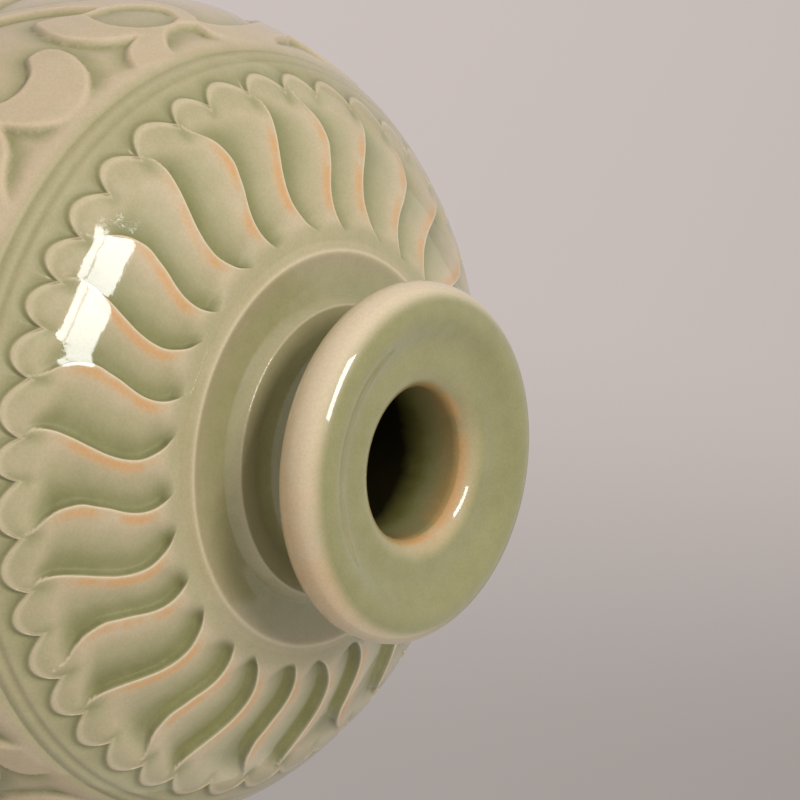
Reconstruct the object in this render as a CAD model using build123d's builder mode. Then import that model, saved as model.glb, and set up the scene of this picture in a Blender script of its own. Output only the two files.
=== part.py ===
"""Meiping vase: thrown sections luted with slip, a carved lotus-petal shoulder and a flanged mouth.

Millimetres, +Z up, origin at the centre of the foot's contact face.
"""
import os
from math import atan2, cos, degrees, pi, radians, sin, sqrt

from build123d import *

# Overall form
max_radius = 74.5
max_radius_height = 183.0
belly_turn_height = 102.5
waist_radius = 44.0
waist_height = 30.0
wall = 6.0

# Shoulder dome, a superellipse of revolution above the widest point
dome_rise = 59.0
dome_exponent = 2.63
dome_height_shares = (0.0, 0.3, 0.55, 0.75, 0.88)

# Foot ring
foot_height = 7.0
foot_inner_radius = 36.0
foot_step = 0.8
foot_chamfer = 1.2

# Floor disc, dropped in from above onto a ledge of the lower body
ledge_thickness = 3.0
ledge_inner_radius = 33.0
disc_radius = 37.5
disc_thickness = 5.0
base_recess = 5.5

# Luting seams
belly_seam_height = 130.0
lap_clearance = 0.2
slip_half_width = 1.3
slip_half_depth = 1.0
neck_slip_half_width = 0.9
neck_slip_half_depth = 0.8

# Stepped collar
collar_radius = 35.0
collar_seat_depth = 3.2
collar_seat_width = 4.0
lower_step_rise = 1.0
lower_step_lean = 0.8
lower_crest_width = 1.6
upper_step_margin = 5.2
terrace_dip = 0.7
upper_step_lean = 0.6
upper_step_rise = 2.3
step_chamfer = 0.3

# Neck
neck_height = 9.9
throat_radius = 12.5
neck_radius = 17.5
neck_foot_flare = 3.2
neck_head_flare = 2.4

# Mouth ring
mouth_radius = 30.0
mouth_thickness = 10.0
mouth_dish_depth = 0.7
mouth_lip_radius = 3.9
mouth_lip_drop = 0.4

# Lotus-petal carving: two swinging ridges and three scallops to each petal
petal_count = 14
lobes_per_petal = 3
petal_start_angle = -85.3
groove_inner_gap = 1.8
groove_outer_gap = 2.1
groove_end_bulge = 1.0
crest_width = 1.6
carving_depth = 1.5
ridge_shares = ((1.0, 0.0), (0.75, -0.045), (0.3, 0.115), (0.0, -0.1))
short_ridge_share = 0.46

# Scalloped band sunk round the petal tips, and the line incised outside it
incised_line_inset = 8.9
incised_line_depth = 0.5
band_margin = 1.6
band_width = 2.4
band_depth = 1.0
lobe_height = 2.0

# Upright petals left standing in a sunk band round the foot
foot_petal_count = 14
foot_petal_low = 11.5
foot_petal_shoulder = 38.0
foot_petal_high = 62.0
foot_petal_gap = 1.4
foot_petal_depth = 0.8
foot_petal_rim = 2.0

# Cutters run this far past the surface that they cut
overrun = 4.0

# Two arcs meet tangentially between the widest point and the waist
narrowing = max_radius - waist_radius
drop = max_radius_height - waist_height
arc_radii_sum = (narrowing ** 2 + drop ** 2) / (2 * narrowing)
belly_arc_radius = arc_radii_sum * (max_radius_height - belly_turn_height) / drop
waist_arc_radius = arc_radii_sum - belly_arc_radius
belly_centre_x = max_radius - belly_arc_radius
waist_centre_x = waist_radius + waist_arc_radius

# The incised line, the band, the lobes and the grooves follow each other in from the widest point
incised_line_radius = max_radius - incised_line_inset
band_outer_radius = incised_line_radius - band_margin
lobe_tip_radius = band_outer_radius - band_width
lobe_cusp_radius = lobe_tip_radius - lobe_height
groove_outer_radius = lobe_cusp_radius - groove_outer_gap
groove_inner_radius = collar_radius + groove_inner_gap

os.makedirs("parts", exist_ok=True)


def turn_height(inset):
    """Height where the belly arc passes into the waist arc."""
    return max_radius_height - (belly_arc_radius - inset) * drop / arc_radii_sum


def wall_point(level, inset):
    """Point of the body's wall below the widest point, inset from the outer face."""
    if level > turn_height(inset):
        rise = level - max_radius_height
        return (belly_centre_x + sqrt((belly_arc_radius - inset) ** 2 - rise ** 2), level)
    rise = level - waist_height
    return (waist_centre_x - sqrt((waist_arc_radius + inset) ** 2 - rise ** 2), level)


def wall_arc(low, high, inset):
    """Arc of the wall between two levels, added to the line being built."""
    ThreePointArc(
        wall_point(low, inset),
        wall_point((low + high) / 2, inset),
        wall_point(high, inset),
    )


def dome_height(radius, inset):
    """Height of the dome at a radius, inset from its outer face."""
    share = (1 - (radius / (max_radius - inset)) ** dome_exponent) ** (1 / dome_exponent)
    return max_radius_height + (dome_rise - inset) * share


def dome_point(height_share, inset):
    """Point of the dome at a share of its height, inset from its outer face."""
    radius = (max_radius - inset) * (1 - height_share ** dome_exponent) ** (1 / dome_exponent)
    return (radius, max_radius_height + (dome_rise - inset) * height_share)


def dome_slope(radius, inset):
    """Fall of the dome for each step outwards at a radius."""
    proportion = (dome_rise - inset) / (max_radius - inset)
    height_above = dome_height(radius, inset) - max_radius_height
    return proportion ** dome_exponent * (radius / height_above) ** (dome_exponent - 1)


def dome_curve(end_radius, inset):
    """Curve of the dome from the widest point in to a radius, added to the line being built."""
    points = [dome_point(share, inset) for share in dome_height_shares]
    points.append((end_radius, dome_height(end_radius, inset)))
    Spline(*points, tangents=[(0, 1), (-1, dome_slope(end_radius, inset))])


def diamond_section(radius, level, half_width, half_depth):
    """Diamond section of a cut groove, or of the slip that fills one."""
    with BuildSketch(Plane.XZ) as section:
        with BuildLine():
            Polyline(
                (radius - half_width, level),
                (radius, level + half_depth),
                (radius + half_width, level),
                (radius, level - half_depth),
                close=True,
            )
        make_face()
    return section.sketch


def polar_point(radius, angle):
    return (radius * cos(radians(angle)), radius * sin(radians(angle)))


# Levels of the collar's steps and of the mouth, stacked on the dome
lower_step_top = dome_height(collar_radius, 0) + lower_step_rise
upper_step_top = lower_step_top + upper_step_rise
mouth_underside = upper_step_top + neck_height
height = mouth_underside + mouth_thickness

# Slip fills the grooves scored between the sections
foot_key = diamond_section(
    (foot_inner_radius + wall_point(foot_height, 0)[0]) / 2,
    foot_height,
    slip_half_width,
    slip_half_depth,
)
belly_key = diamond_section(
    wall_point(belly_seam_height, wall / 2)[0],
    belly_seam_height,
    slip_half_width,
    slip_half_depth,
)
collar_seat_height = dome_height(collar_radius, 0) - collar_seat_depth
collar_key = diamond_section(
    collar_radius - collar_seat_width / 2,
    collar_seat_height,
    neck_slip_half_width,
    neck_slip_half_depth,
)
neck_key = diamond_section(
    (throat_radius + neck_radius) / 2,
    upper_step_top,
    neck_slip_half_width,
    neck_slip_half_depth,
)
mouth_key = diamond_section(
    (throat_radius + neck_radius) / 2,
    mouth_underside,
    neck_slip_half_width,
    neck_slip_half_depth,
)

# Foot ring, turned true and left bare where it stands
foot_outer_radius = wall_point(foot_height, 0)[0] - foot_step
with BuildPart() as foot_ring:
    with BuildSketch(Plane.XZ) as foot_profile:
        with BuildLine():
            Polyline(
                (foot_inner_radius, 0),
                (foot_outer_radius, 0),
                (foot_outer_radius, foot_height),
                (foot_inner_radius, foot_height),
                close=True,
            )
        make_face()
        chamfer(foot_profile.vertices().group_by(Axis.Y)[0], length=foot_chamfer)
    revolve(axis=Axis.Z)
    revolve(foot_key, axis=Axis.Z, mode=Mode.SUBTRACT)
foot_ring.part.label = "foot_ring"
export_step(foot_ring.part, "parts/foot_ring.step")

def foot_petal_cutter():
    """Cutter of the sunk band round the foot, with the upright petals left out of it."""
    low = foot_petal_low
    high = foot_petal_high
    half_width = pi * wall_point((low + high) / 2, 0)[0] / foot_petal_count - foot_petal_gap / 2
    with BuildPart() as petal:
        with BuildSketch(Plane.YZ.offset(waist_radius - wall)):
            with BuildLine():
                Polyline(
                    (-half_width, foot_petal_shoulder),
                    (-half_width, low),
                    (half_width, low),
                    (half_width, foot_petal_shoulder),
                )
                for side in (-1, 1):
                    ThreePointArc(
                        (side * half_width, foot_petal_shoulder),
                        (side * half_width * 0.75, (foot_petal_shoulder + high) / 2 + 2),
                        (0, high),
                    )
            make_face()
        extrude(amount=max_radius - waist_radius + wall)
    with BuildPart() as cutter:
        with BuildSketch(Plane.XZ):
            with BuildLine():
                Line(wall_point(low - foot_petal_rim, -foot_petal_rim / 4), wall_point(low, foot_petal_depth))
                wall_arc(low, high, foot_petal_depth)
                Polyline(
                    wall_point(high, foot_petal_depth),
                    wall_point(high + foot_petal_rim, -foot_petal_rim / 4),
                    (max_radius, high + foot_petal_rim),
                    (max_radius, low - foot_petal_rim),
                    wall_point(low - foot_petal_rim, -foot_petal_rim / 4),
                )
            make_face()
        revolve(axis=Axis.Z)
        for turn in range(foot_petal_count):
            add(petal.part.rotate(Axis.Z, turn * 360 / foot_petal_count), mode=Mode.SUBTRACT)
    return cutter.part


# Lower body, with a ledge inside its foot
ledge_top = foot_height + ledge_thickness
floor_top = ledge_top + disc_thickness
with BuildPart() as lower_body:
    with BuildSketch(Plane.XZ):
        with BuildLine():
            wall_arc(foot_height, turn_height(0), 0)
            wall_arc(turn_height(0), belly_seam_height, 0)
            Line(wall_point(belly_seam_height, 0), wall_point(belly_seam_height, wall))
            wall_arc(belly_seam_height, turn_height(wall), wall)
            wall_arc(turn_height(wall), floor_top, wall)
            Polyline(
                wall_point(floor_top, wall),
                (disc_radius + lap_clearance, floor_top),
                (disc_radius + lap_clearance, ledge_top),
                (ledge_inner_radius, ledge_top),
                (ledge_inner_radius, foot_height),
                wall_point(foot_height, 0),
            )
        make_face()
    revolve(axis=Axis.Z)
    revolve(foot_key, axis=Axis.Z, mode=Mode.SUBTRACT)
    revolve(belly_key, axis=Axis.Z, mode=Mode.SUBTRACT)
    add(foot_petal_cutter(), mode=Mode.SUBTRACT)
lower_body.part.label = "lower_body"
export_step(lower_body.part, "parts/lower_body.step")

# Floor disc, with a boss that fills the ledge's opening
with BuildPart() as base_disc:
    with BuildSketch(Plane.XY.offset(ledge_top)):
        Circle(disc_radius)
    extrude(amount=disc_thickness)
    with BuildSketch(Plane.XY.offset(base_recess)):
        Circle(ledge_inner_radius - lap_clearance)
    extrude(amount=ledge_top - base_recess)
base_disc.part.label = "base_disc"
export_step(base_disc.part, "parts/base_disc.step")


def dome_solid(inset):
    """Solid under the dome, inset from its outer face."""
    with BuildPart() as dome:
        with BuildSketch(Plane.XZ):
            with BuildLine():
                dome_curve(groove_inner_radius - overrun, inset)
                Polyline(
                    (groove_inner_radius - overrun, dome_height(groove_inner_radius - overrun, inset)),
                    (0, dome_height(groove_inner_radius - overrun, inset)),
                    (0, max_radius_height),
                    (max_radius - inset, max_radius_height),
                )
            make_face()
        revolve(axis=Axis.Z)
    return dome.part


def ridge_points(start_angle, sideways):
    """Points along a ridge line from its outer end to its inner end, moved sideways by a length."""
    points = []
    for length_share, swing_share in ridge_shares:
        radius = groove_inner_radius + length_share * (groove_outer_radius - groove_inner_radius)
        swing = swing_share * petal_pitch + degrees(sideways / radius)
        points.append(polar_point(radius, start_angle + swing))
    return points


def groove_bed():
    """Solid under one groove, rounded along it by an arc through three points of the sunk dome."""
    inset = carving_depth / 2
    inner_radius = groove_inner_radius - overrun
    outer_radius = groove_outer_radius + overrun
    middle_radius = (inner_radius + outer_radius) / 2
    with BuildPart() as bed:
        with BuildSketch(Plane.XZ):
            with BuildLine():
                ThreePointArc(
                    (inner_radius, dome_height(inner_radius, inset)),
                    (middle_radius, dome_height(middle_radius, inset)),
                    (outer_radius, dome_height(outer_radius, inset)),
                )
                Polyline(
                    (outer_radius, dome_height(outer_radius, inset)),
                    (outer_radius, max_radius_height),
                    (inner_radius, max_radius_height),
                    (inner_radius, dome_height(inner_radius, inset)),
                )
            make_face()
        extrude(amount=groove_outer_radius / 2, both=True)
    return bed.part


def groove_cutter(start_angle, end_angle):
    """Cutter of one groove: a crest's width past one ridge line, deepening to the next one."""
    near_side = ridge_points(start_angle, crest_width)
    far_side = ridge_points(end_angle, 0)
    middle_angle = (start_angle + end_angle) / 2
    middle_radius = (groove_inner_radius + groove_outer_radius) / 2
    end_swing = ridge_shares[-1][1] * petal_pitch
    half_width = radians(end_angle - start_angle) * groove_outer_radius / 2 - crest_width / 2
    tilt = degrees(atan2(carving_depth / 2, half_width))
    hinge = Axis(
        (*polar_point(middle_radius, middle_angle), dome_height(middle_radius, 0)),
        (*polar_point(1, middle_angle), 0),
    )
    with BuildPart() as cutter:
        with BuildSketch(Plane.XY.offset(dome_height(lobe_tip_radius, 0) - overrun)):
            with BuildLine():
                Spline(*near_side)
                Spline(*far_side)
                ThreePointArc(
                    near_side[0],
                    polar_point(groove_outer_radius + groove_end_bulge, middle_angle),
                    far_side[0],
                )
                ThreePointArc(
                    near_side[-1],
                    polar_point(groove_inner_radius - groove_end_bulge, middle_angle + end_swing),
                    far_side[-1],
                )
            make_face()
        extrude(amount=upper_step_top - dome_height(lobe_tip_radius, 0) + overrun)
        add(groove_bed().rotate(Axis.Z, middle_angle).rotate(hinge, -tilt), mode=Mode.SUBTRACT)
    return cutter.part


def band_cutter():
    """Cutter of the sunk band, scalloped on its inner side."""
    lobe_pitch = petal_pitch / lobes_per_petal
    with BuildPart() as cutter:
        with BuildSketch(Plane.XY.offset(dome_height(band_outer_radius, 0) - overrun)):
            Circle(band_outer_radius)
            with BuildSketch(mode=Mode.SUBTRACT):
                with BuildLine():
                    for lobe in range(petal_count * lobes_per_petal):
                        cusp_angle = petal_start_angle + lobe * lobe_pitch
                        ThreePointArc(
                            polar_point(lobe_cusp_radius, cusp_angle),
                            polar_point(lobe_tip_radius, cusp_angle + lobe_pitch / 2),
                            polar_point(lobe_cusp_radius, cusp_angle + lobe_pitch),
                        )
                make_face()
        extrude(amount=upper_step_top - dome_height(band_outer_radius, 0) + overrun)
        add(dome_solid(band_depth), mode=Mode.SUBTRACT)
    return cutter.part


# Shoulder body: the dome carved with lotus petals
petal_pitch = 360 / petal_count
seat_inner_radius = collar_radius - collar_seat_width
long_groove = groove_cutter(petal_start_angle, petal_start_angle + short_ridge_share * petal_pitch)
short_groove = groove_cutter(
    petal_start_angle + short_ridge_share * petal_pitch,
    petal_start_angle + petal_pitch,
)
scalloped_band = band_cutter()
incised_section = diamond_section(
    incised_line_radius,
    dome_height(incised_line_radius, 0),
    incised_line_depth,
    incised_line_depth,
)
with BuildPart() as shoulder_body:
    with BuildSketch(Plane.XZ):
        with BuildLine():
            wall_arc(belly_seam_height, max_radius_height, 0)
            dome_curve(collar_radius, 0)
            Polyline(
                (collar_radius, dome_height(collar_radius, 0)),
                (collar_radius, collar_seat_height),
                (seat_inner_radius, collar_seat_height),
                (seat_inner_radius, dome_height(seat_inner_radius, wall)),
            )
            dome_curve(seat_inner_radius, wall)
            wall_arc(belly_seam_height, max_radius_height, wall)
            Line(wall_point(belly_seam_height, wall), wall_point(belly_seam_height, 0))
        make_face()
    revolve(axis=Axis.Z)
    revolve(belly_key, axis=Axis.Z, mode=Mode.SUBTRACT)
    revolve(collar_key, axis=Axis.Z, mode=Mode.SUBTRACT)
    revolve(incised_section, axis=Axis.Z, mode=Mode.SUBTRACT)
    add(scalloped_band, mode=Mode.SUBTRACT)
    with PolarLocations(0, petal_count):
        add(long_groove, mode=Mode.SUBTRACT)
        add(short_groove, mode=Mode.SUBTRACT)
shoulder_body.part.label = "shoulder_body"
export_step(shoulder_body.part, "parts/shoulder_body.step")

# Stepped collar, seated in the rebate round the shoulder's opening
collar_skirt_radius = collar_radius - lap_clearance
collar_spigot_radius = seat_inner_radius - lap_clearance
collar_middle_radius = (throat_radius + collar_spigot_radius) / 2
terrace_outer_radius = collar_skirt_radius - lower_step_lean - lower_crest_width
terrace_inner_radius = neck_radius + neck_foot_flare + upper_step_margin
terrace_middle_radius = (terrace_outer_radius + terrace_inner_radius) / 2
with BuildPart() as shoulder_collar:
    with BuildSketch(Plane.XZ) as collar_profile:
        with BuildLine():
            Polyline(
                (collar_spigot_radius, dome_height(collar_spigot_radius, wall)),
                (collar_spigot_radius, collar_seat_height),
                (collar_skirt_radius, collar_seat_height),
                (collar_skirt_radius, dome_height(collar_radius, 0)),
                (collar_skirt_radius - lower_step_lean, lower_step_top),
                (terrace_outer_radius, lower_step_top),
            )
            ThreePointArc(
                (terrace_outer_radius, lower_step_top),
                (terrace_middle_radius, lower_step_top - terrace_dip),
                (terrace_inner_radius, lower_step_top),
            )
            Polyline(
                (terrace_inner_radius, lower_step_top),
                (terrace_inner_radius - upper_step_lean, upper_step_top),
                (throat_radius, upper_step_top),
                (throat_radius, dome_height(throat_radius, wall)),
            )
            ThreePointArc(
                (throat_radius, dome_height(throat_radius, wall)),
                (collar_middle_radius, dome_height(collar_middle_radius, wall)),
                (collar_spigot_radius, dome_height(collar_spigot_radius, wall)),
            )
        make_face()
        crest_corners = [
            collar_profile.vertices().sort_by_distance(crest)[0]
            for crest in (
                (collar_skirt_radius - lower_step_lean, lower_step_top),
                (terrace_inner_radius - upper_step_lean, upper_step_top),
            )
        ]
        chamfer(crest_corners, length=step_chamfer)
    revolve(axis=Axis.Z)
    revolve(collar_key, axis=Axis.Z, mode=Mode.SUBTRACT)
    revolve(neck_key, axis=Axis.Z, mode=Mode.SUBTRACT)
shoulder_collar.part.label = "shoulder_collar"
export_step(shoulder_collar.part, "parts/shoulder_collar.step")

# Neck, waisted between the collar and the mouth
with BuildPart() as neck_tube:
    with BuildSketch(Plane.XZ):
        with BuildLine():
            CenterArc(
                (neck_radius + neck_foot_flare, upper_step_top + neck_foot_flare),
                neck_foot_flare,
                start_angle=180,
                arc_size=90,
            )
            Line(
                (neck_radius, upper_step_top + neck_foot_flare),
                (neck_radius, mouth_underside - neck_head_flare),
            )
            CenterArc(
                (neck_radius + neck_head_flare, mouth_underside - neck_head_flare),
                neck_head_flare,
                start_angle=90,
                arc_size=90,
            )
            Polyline(
                (neck_radius + neck_head_flare, mouth_underside),
                (throat_radius, mouth_underside),
                (throat_radius, upper_step_top),
                (neck_radius + neck_foot_flare, upper_step_top),
            )
        make_face()
    revolve(axis=Axis.Z)
    revolve(neck_key, axis=Axis.Z, mode=Mode.SUBTRACT)
    revolve(mouth_key, axis=Axis.Z, mode=Mode.SUBTRACT)
neck_tube.part.label = "neck_tube"
export_step(neck_tube.part, "parts/neck_tube.step")

# Mouth ring: full round edge, dished top, rounded lip down into the throat
edge_radius = mouth_thickness / 2
edge_centre_radius = mouth_radius - edge_radius
lip_centre_radius = throat_radius + mouth_lip_radius
lip_top = height - mouth_lip_drop
dish_middle_radius = (edge_centre_radius + lip_centre_radius) / 2
with BuildPart() as mouth_ring:
    with BuildSketch(Plane.XZ):
        with BuildLine():
            CenterArc(
                (edge_centre_radius, mouth_underside + edge_radius),
                edge_radius,
                start_angle=-90,
                arc_size=180,
            )
            ThreePointArc(
                (edge_centre_radius, height),
                (dish_middle_radius, height - mouth_dish_depth),
                (lip_centre_radius, lip_top),
            )
            CenterArc(
                (lip_centre_radius, lip_top - mouth_lip_radius),
                mouth_lip_radius,
                start_angle=90,
                arc_size=90,
            )
            Polyline(
                (throat_radius, lip_top - mouth_lip_radius),
                (throat_radius, mouth_underside),
                (edge_centre_radius, mouth_underside),
            )
        make_face()
    revolve(axis=Axis.Z)
    revolve(mouth_key, axis=Axis.Z, mode=Mode.SUBTRACT)
mouth_ring.part.label = "mouth_ring"
export_step(mouth_ring.part, "parts/mouth_ring.step")

# Slip rings, one to a seam
slip_sections = {
    "foot_slip_ring": foot_key,
    "belly_slip_ring": belly_key,
    "collar_slip_ring": collar_key,
    "neck_slip_ring": neck_key,
    "mouth_slip_ring": mouth_key,
}
for slip_name, section in slip_sections.items():
    with BuildPart() as slip_ring:
        revolve(section, axis=Axis.Z)
    slip_ring.part.label = slip_name
    export_step(slip_ring.part, f"parts/{slip_name}.step")
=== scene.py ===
"""Looks of a carved meiping: celadon glaze over a lotus-petal shoulder, a scrolled belly and a mouth ring.

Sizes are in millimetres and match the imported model, whose sections are luted at the same seams.
The camera looks down on the mouth and is rolled, so the vase's axis lies across the picture.
"""
from math import atan2, cos, pi, radians, sin, tau

import bmesh
import bpy
import numpy as np
from mathutils import Matrix, Vector


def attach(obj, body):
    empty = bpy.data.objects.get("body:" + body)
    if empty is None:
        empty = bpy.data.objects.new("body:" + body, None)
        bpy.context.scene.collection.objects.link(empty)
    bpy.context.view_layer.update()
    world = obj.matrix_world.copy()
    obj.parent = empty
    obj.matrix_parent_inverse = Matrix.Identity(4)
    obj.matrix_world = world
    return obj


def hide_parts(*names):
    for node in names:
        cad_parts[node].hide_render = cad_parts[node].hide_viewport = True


MM = 0.001

# Overall form
MAX_RADIUS = 74.5
MAX_RADIUS_LEVEL = 183.0
BELLY_TURN_LEVEL = 102.5
WAIST_RADIUS = 44.0
WAIST_LEVEL = 30.0
WALL = 6.0
DOME_RISE = 59.0
DOME_EXPONENT = 2.63

# Foot and floor
FOOT_HEIGHT = 7.0
FOOT_INNER_RADIUS = 36.0
FOOT_STEP = 0.8
FOOT_ROUNDING = 1.2
LEDGE_TOP = 10.0
LEDGE_INNER_RADIUS = 33.0
DISC_RADIUS = 37.5
FLOOR_TOP = 15.0
BASE_RECESS = 5.5
LAP_CLEARANCE = 0.2

# Seams between the thrown sections, and half the width and half the depth of the slip in their grooves
BELLY_SEAM_LEVEL = 130.0
WIDE_SLIP = (1.3, 1.0)
NECK_SLIP = (0.9, 0.8)

# Stepped collar
COLLAR_RADIUS = 35.0
COLLAR_SEAT_DEPTH = 3.2
COLLAR_SEAT_WIDTH = 4.0
LOWER_STEP_RISE = 1.0
LOWER_CREST_RADIUS = 33.3
TERRACE_OUTER_RADIUS = 32.8
TERRACE_INNER_RADIUS = 25.9
TERRACE_DIP = 0.7
UPPER_STEP_RISE = 2.3
UPPER_CREST_RADIUS = 24.6
STEP_ROUNDING = 0.35

# Neck
NECK_HEIGHT = 9.9
THROAT_RADIUS = 12.5
NECK_RADIUS = 17.5
NECK_FOOT_FLARE = 3.2
NECK_HEAD_FLARE = 2.4

# Mouth ring
MOUTH_RADIUS = 30.0
MOUTH_THICKNESS = 10.0
MOUTH_DISH_DEPTH = 0.7
MOUTH_LIP_RADIUS = 3.9
MOUTH_LIP_DROP = 1.7
LIP_THIN_ANGLE = 45.0
EDGE_FLUSH_ANGLE = -50.0

# Lotus-petal carving: 14 petals, each with three scallops and two swinging ridges
PETAL_COUNT = 14
PETAL_START_ANGLE = -85.3
LOBES_PER_PETAL = 3
LOBE_TIP_RADIUS = 61.7
LOBE_CUSP_RADIUS = 59.2
LOBE_LEAN = 1.25
RIDGE_ROOT_RADIUS = 36.0
CARVING_DEPTH = 1.6
BAND_DEPTH = 1.1
BAND_OUTER_RADIUS = 63.6
INNER_LINE_RADIUS = 64.1
SEAM_RADIUS = 65.6
LINE_DEPTH = 0.28
LINE_HALF_WIDTH = 0.45
RIDGE_WALL = 0.3
LOBE_WALL = 1.25

# Swing of the two ridge lines: radius, and degrees from the petal's edge or from the short ridge's place
LONG_RIDGE_SWING = (
    (36.0, -4.2), (36.8, -2.8), (38.0, -0.3), (40.0, 1.8), (42.0, 2.9), (44.0, 3.0), (47.0, 2.2),
    (50.0, 0.7), (53.0, -0.8), (56.0, -1.7), (58.0, -1.5), (60.0, 0.0),
)
SHORT_RIDGE_SWING = (
    (36.0, -0.4), (37.5, 1.6), (39.0, 2.8), (41.0, 3.4), (43.0, 3.2), (45.0, 2.4), (47.0, 1.3),
    (49.0, 0.5), (51.0, -0.2), (53.0, 0.0), (54.5, 0.5), (56.0, 1.6), (57.5, 3.1), (60.0, 4.4),
)
SHORT_RIDGE_ANGLE = 11.2

# Hand-carved unevenness of each petal: degrees for its edge and its short ridge, shares for its inner cusps
PETAL_UNEVENNESS = (
    (0.0, 0.0, 0.27, 0.64), (-1.4, -1.0, 0.31, 0.66), (-2.6, 1.4, 0.33, 0.69), (-2.5, 1.8, 0.34, 0.67),
    (-1.2, 0.4, 0.32, 0.66), (0.6, -0.6, 0.35, 0.68), (1.1, 0.8, 0.33, 0.65), (0.2, -0.9, 0.31, 0.66),
    (-0.9, 0.5, 0.34, 0.68), (-0.3, 0.9, 0.32, 0.64), (0.4, 0.4, 0.35, 0.66), (0.6, 1.6, 0.35, 0.64),
    (1.9, 1.2, 0.34, 0.69), (1.2, -0.2, 0.31, 0.63),
)

# Rings of the carved shoulder's mesh: a radius, and how many rings lead on to the next
RING_RUNS = ((35.0, 10), (38.0, 34), (56.5, 11), (60.55, 14), (62.4, 3), (63.0, 9), (64.7, 6))
STEPS_TO_SHORT_RIDGE = 36
STEPS_PER_LOBE = 22
STEPS_PER_PETAL = STEPS_PER_LOBE * LOBES_PER_PETAL
SHOULDER_STEPS = PETAL_COUNT * STEPS_PER_PETAL

# Radius where each change in that mesh begins, and over what width: from ridges to lobes, from lobes to even
# steps, and where the rings are drawn on to the scalloped edge and let go again
LOBE_GRID = (53.5, 7.1)
EVEN_GRID = (62.0, 2.6)
EDGE_PULL = (54.5, 6.0)
EDGE_RELEASE = (61.6, 2.2)
EDGE_BASE_RADIUS = 61.05
RIDGE_CROWDING = 0.75
LOBE_CROWDING = 0.4

# The glaze's skin follows this share of the carving, evened out in passes that take this share of neighbours
SKIN_RELIEF = 0.14
SKIN_PASSES = 110
SKIN_SPREAD = 0.6
SKIN_SHARP_ANGLE = 40.0
CLAY_SHARP_ANGLE = 65.0

# A vertex belongs to the carved face above this mark, and plain faces carry this thickness of glaze
CARVED_MARK = 0.999
PLAIN_POOL = 0.9
SLOPE_REACH = 0.01
ANGLE_MARGIN = 1e-6
FAR = 99.0

# Scroll: six repeats of one unit, laid out in degrees from the unit's start and in height
SCROLL_REPEATS = 6
SCROLL_START_ANGLE = -177.0
SCROLL_PITCH = 360 / SCROLL_REPEATS
SCROLL_RADIUS = 72.0
SCROLL_TURN_LEVEL = 181.0
SCROLL_DEPTH = 1.3
SCROLL_WALL = 0.9
SCROLL_SLOPE = 3.2
STEPS_PER_SCROLL = 78
SCROLL_FINE_REACH = 1.15
LOWER_LINE_LEVEL = 140.0
LOWER_LINE_GAP = 2.2
STEM_WIDTH = 2.2

# Each raised leaf is a ring of smooth edges, which meet in its points
COMMA_LEAF = (
    (
        (37.1, 203.3), (35.3, 203.5), (33.9, 204.8), (33.4, 207.6), (34.2, 211.0), (35.7, 213.6),
        (39.6, 216.2), (44.0, 216.3), (47.2, 213.6), (49.2, 208.7), (49.6, 203.0), (47.5, 196.0),
        (43.0, 190.0),
    ),
    (
        (43.0, 190.0), (46.2, 196.4), (47.4, 201.5), (46.4, 206.0), (43.6, 207.4), (40.7, 206.9),
        (38.7, 205.5), (37.1, 203.3),
    ),
)
BUD_LEAF = (
    ((29.3, 196.1), (30.5, 200.1), (30.6, 204.3), (28.7, 208.1), (26.0, 210.3), (22.8, 211.8)),
    (
        (22.8, 211.8), (24.9, 212.4), (26.9, 213.5), (28.2, 215.0), (28.8, 216.8), (28.9, 218.4),
        (25.5, 218.6), (22.4, 218.4),
    ),
    ((22.4, 218.4), (21.9, 216.6), (20.8, 214.8), (18.3, 212.5), (14.6, 211.4), (11.6, 212.0)),
    ((11.6, 212.0), (10.4, 209.8), (10.3, 205.8), (11.6, 202.6), (14.6, 199.4), (19.4, 195.2), (25.0, 190.0)),
    ((25.0, 190.0), (26.6, 190.6), (22.4, 196.0), (20.6, 199.6), (23.7, 200.2), (26.5, 197.9), (29.3, 196.1)),
)
BUD_HOLLOW = (
    ((23.9, 200.6), (24.3, 205.7), (22.5, 209.1), (19.7, 210.9), (16.1, 211.2), (13.2, 209.8)),
    ((13.2, 209.8), (12.5, 206.8), (13.3, 204.4), (16.2, 202.0), (19.8, 200.8), (23.9, 200.6)),
)
BROAD_LEAF = (
    ((12.0, 210.6), (9.6, 212.7), (6.1, 213.2), (1.4, 212.0), (-4.0, 208.6), (-9.0, 203.0), (-12.5, 196.5)),
    (
        (-12.5, 196.5), (-11.8, 203.5), (-10.0, 209.3), (-7.7, 212.2), (-5.7, 213.2), (-3.0, 214.6),
        (-0.9, 216.2), (0.8, 218.0),
    ),
    ((0.8, 218.0), (3.6, 218.5), (6.6, 217.9), (9.5, 216.9), (11.6, 214.9), (12.0, 210.6)),
)
MAIN_STEM = (
    (0.0, 181.0), (7.5, 177.5), (15.0, 176.3), (22.5, 177.5), (30.0, 181.0), (37.5, 184.5),
    (45.0, 185.7), (52.5, 184.5), (60.0, 181.0),
)
COMMA_STEM = ((43.5, 190.6), (39.0, 186.4), (33.0, 182.8))
BUD_STEM = ((25.8, 190.2), (29.5, 186.2), (33.0, 182.8))
BROAD_STEM = ((47.5, 196.7), (46.5, 190.5), (50.5, 185.6))

# Upright petals round the foot
FOOT_PETAL_COUNT = 14
FOOT_PETAL_LOW = 11.5
FOOT_PETAL_HIGH = 62.0
FOOT_PETAL_GAP = 1.4
FOOT_PETAL_DEPTH = 1.1
FOOT_PETAL_RADIUS = 46.0
FOOT_LINE_LEVEL = 68.0

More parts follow.
